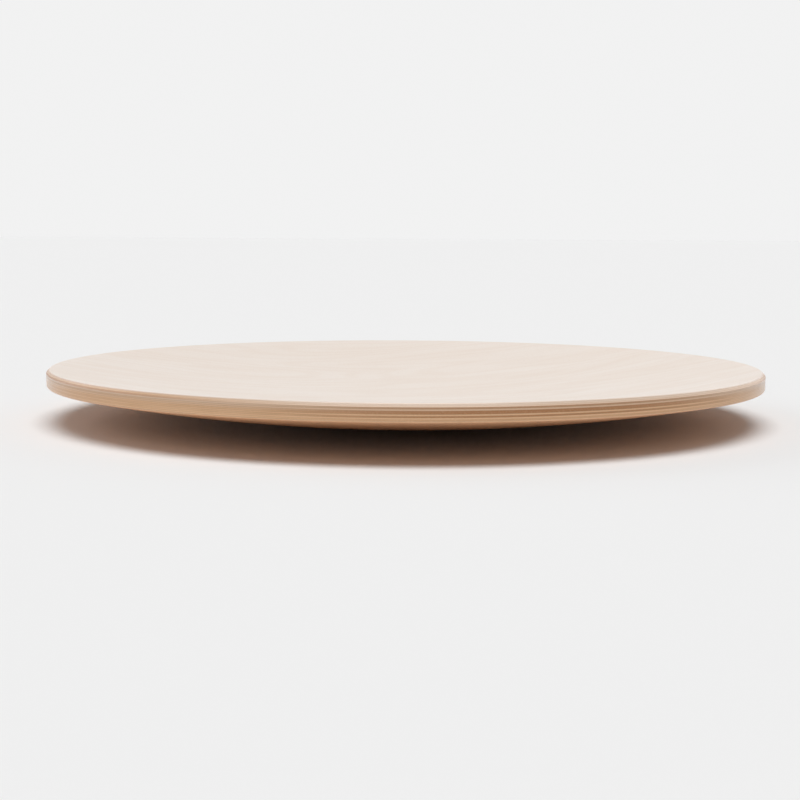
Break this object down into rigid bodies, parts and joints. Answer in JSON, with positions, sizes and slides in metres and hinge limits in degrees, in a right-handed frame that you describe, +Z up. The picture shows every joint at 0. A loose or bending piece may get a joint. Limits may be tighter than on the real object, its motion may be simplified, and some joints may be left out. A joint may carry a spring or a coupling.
{
  "type": "round balance board",
  "caption": "Round balance board: a shallow dish pressed from twelve cross-laminated beech veneers, with an upright milled rim that is bevelled towards the dish, which rocks and spins on its convex underside.",
  "frame": {"origin": "middle of the underside, on the floor that the board stands on at rest", "axes": "+Z up along the axis that the board is turned about; -Y faces the viewer of the picture, and the grain of both face veneers runs across that view, turned about 18 degrees from X towards Y"},
  "size_m": [0.78, 0.78, 0.0579],
  "materials": {
    "face_veneer": "satin",
    "underside_veneer": "satin",
    "long_grain_ply": "satin",
    "crossband_ply": "satin"
  },
  "bodies": {
    "root": {"top_face_veneer": "face_veneer", "crossband_ply_02": "crossband_ply", "long_grain_ply_03": "long_grain_ply", "crossband_ply_04": "crossband_ply", "long_grain_ply_05": "long_grain_ply", "centre_ply_06": "crossband_ply", "centre_ply_07": "crossband_ply", "long_grain_ply_08": "long_grain_ply", "crossband_ply_09": "crossband_ply", "long_grain_ply_10": "long_grain_ply", "crossband_ply_11": "crossband_ply", "bottom_face_veneer": "underside_veneer"}
  },
  "joints": []
}
